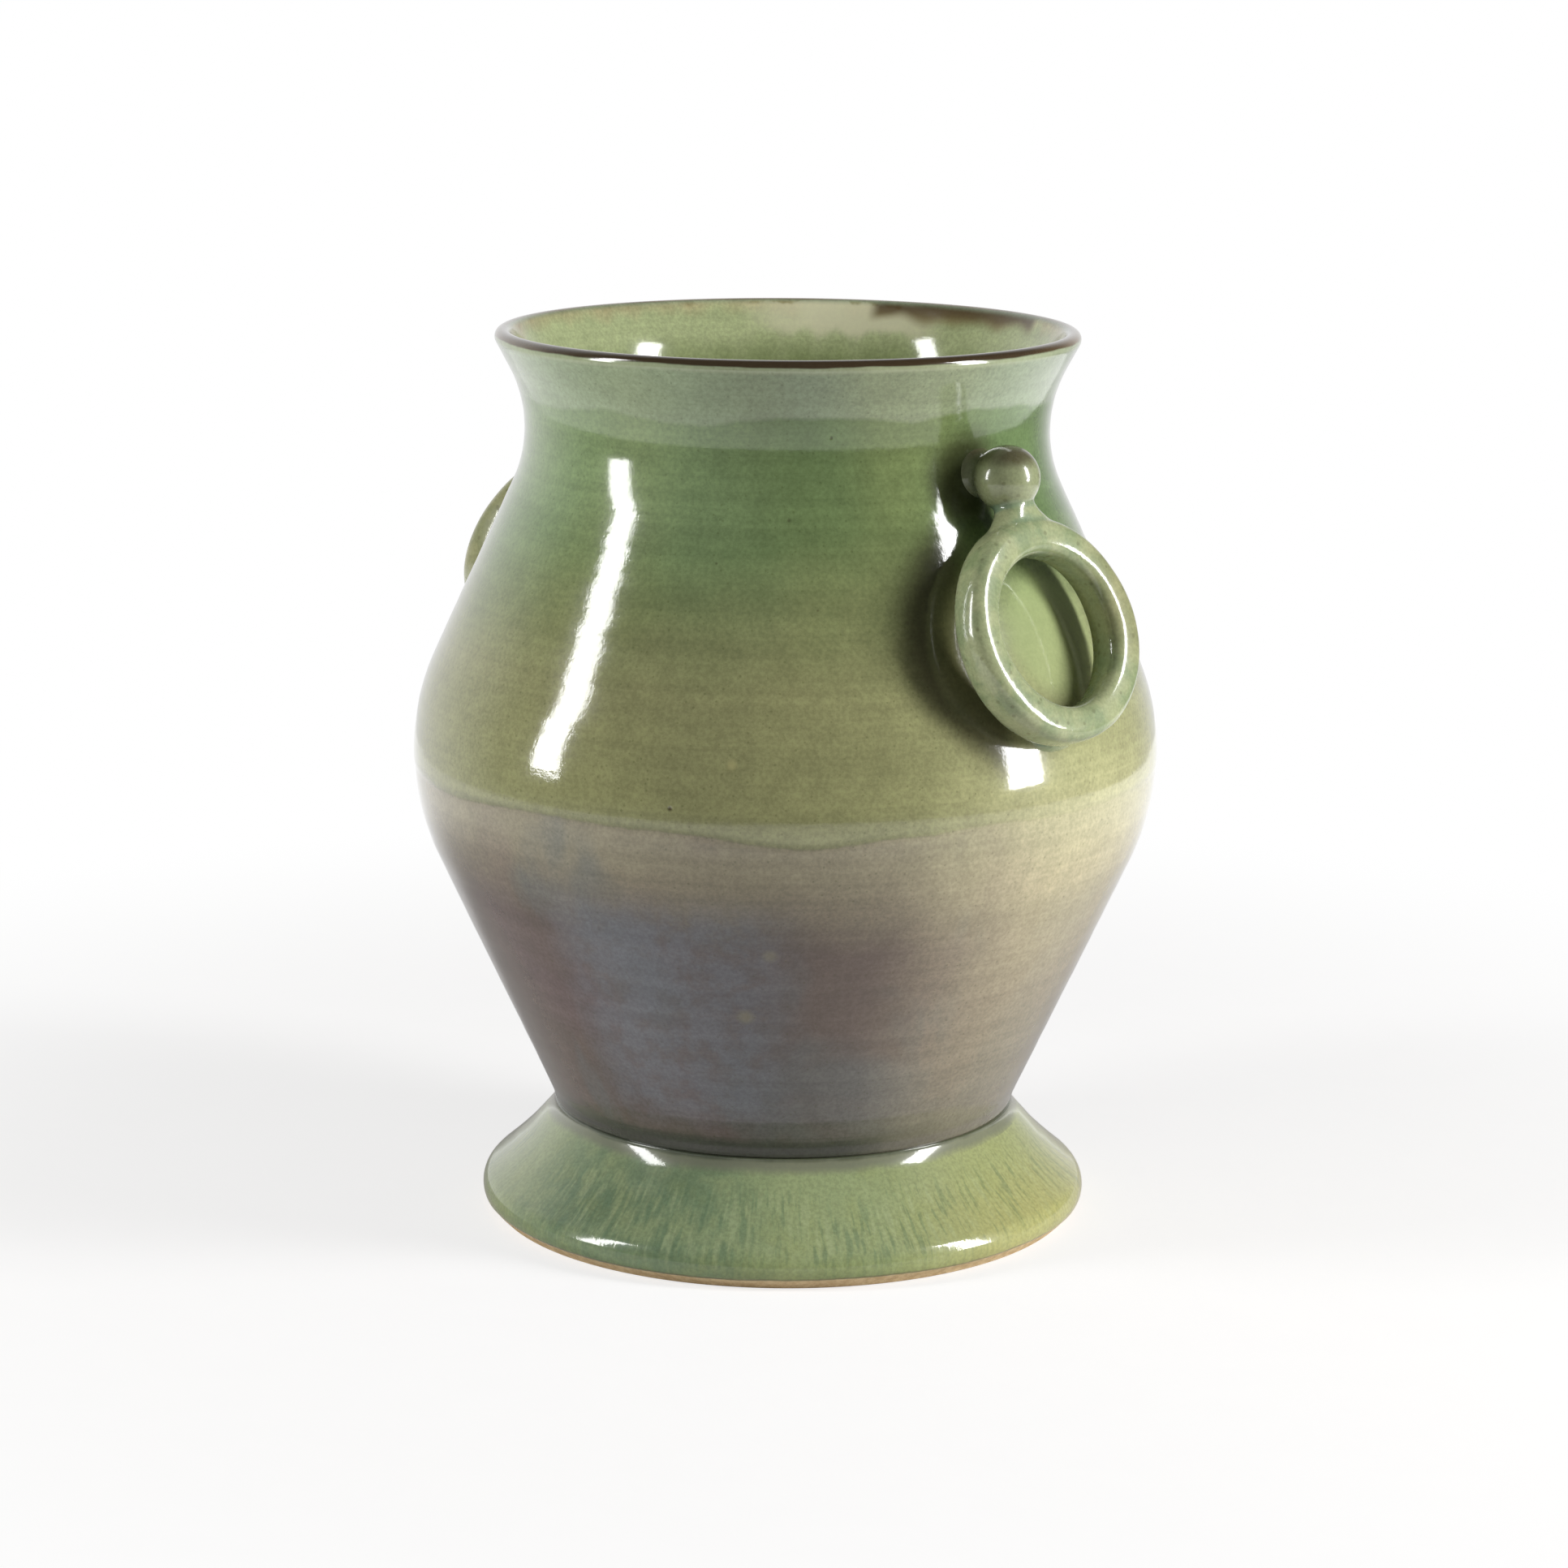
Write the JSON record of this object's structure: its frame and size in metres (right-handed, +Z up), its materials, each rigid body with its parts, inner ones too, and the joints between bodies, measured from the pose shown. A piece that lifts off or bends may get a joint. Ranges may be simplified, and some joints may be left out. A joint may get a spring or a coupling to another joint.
{
  "type": "ceramic vase",
  "caption": "Glazed stoneware vase of baluster form with a flared mouth, a flared pedestal foot and fixed ring handles under ball knobs.",
  "frame": {"origin": "centre of the foot's resting face, on the surface that the vase stands on", "axes": "+Z up along the thrown axis; +X towards the right handle, -X towards the left one; +Y towards a plain side"},
  "size_m": [0.2282, 0.209, 0.25],
  "materials": {
    "body_glaze": "gloss",
    "foot_glaze": "gloss",
    "handle_glaze": "gloss"
  },
  "bodies": {
    "root": {"vase_body": "body_glaze", "foot_ring": "foot_glaze", "foot_slip_joint": "foot_glaze", "right_knob": "handle_glaze", "right_ring_link": "handle_glaze", "right_ring": "handle_glaze", "right_knob_pad": "handle_glaze", "right_ring_pad": "handle_glaze", "left_knob": "handle_glaze", "left_ring_link": "handle_glaze", "left_ring": "handle_glaze", "left_knob_pad": "handle_glaze", "left_ring_pad": "handle_glaze"}
  },
  "joints": []
}
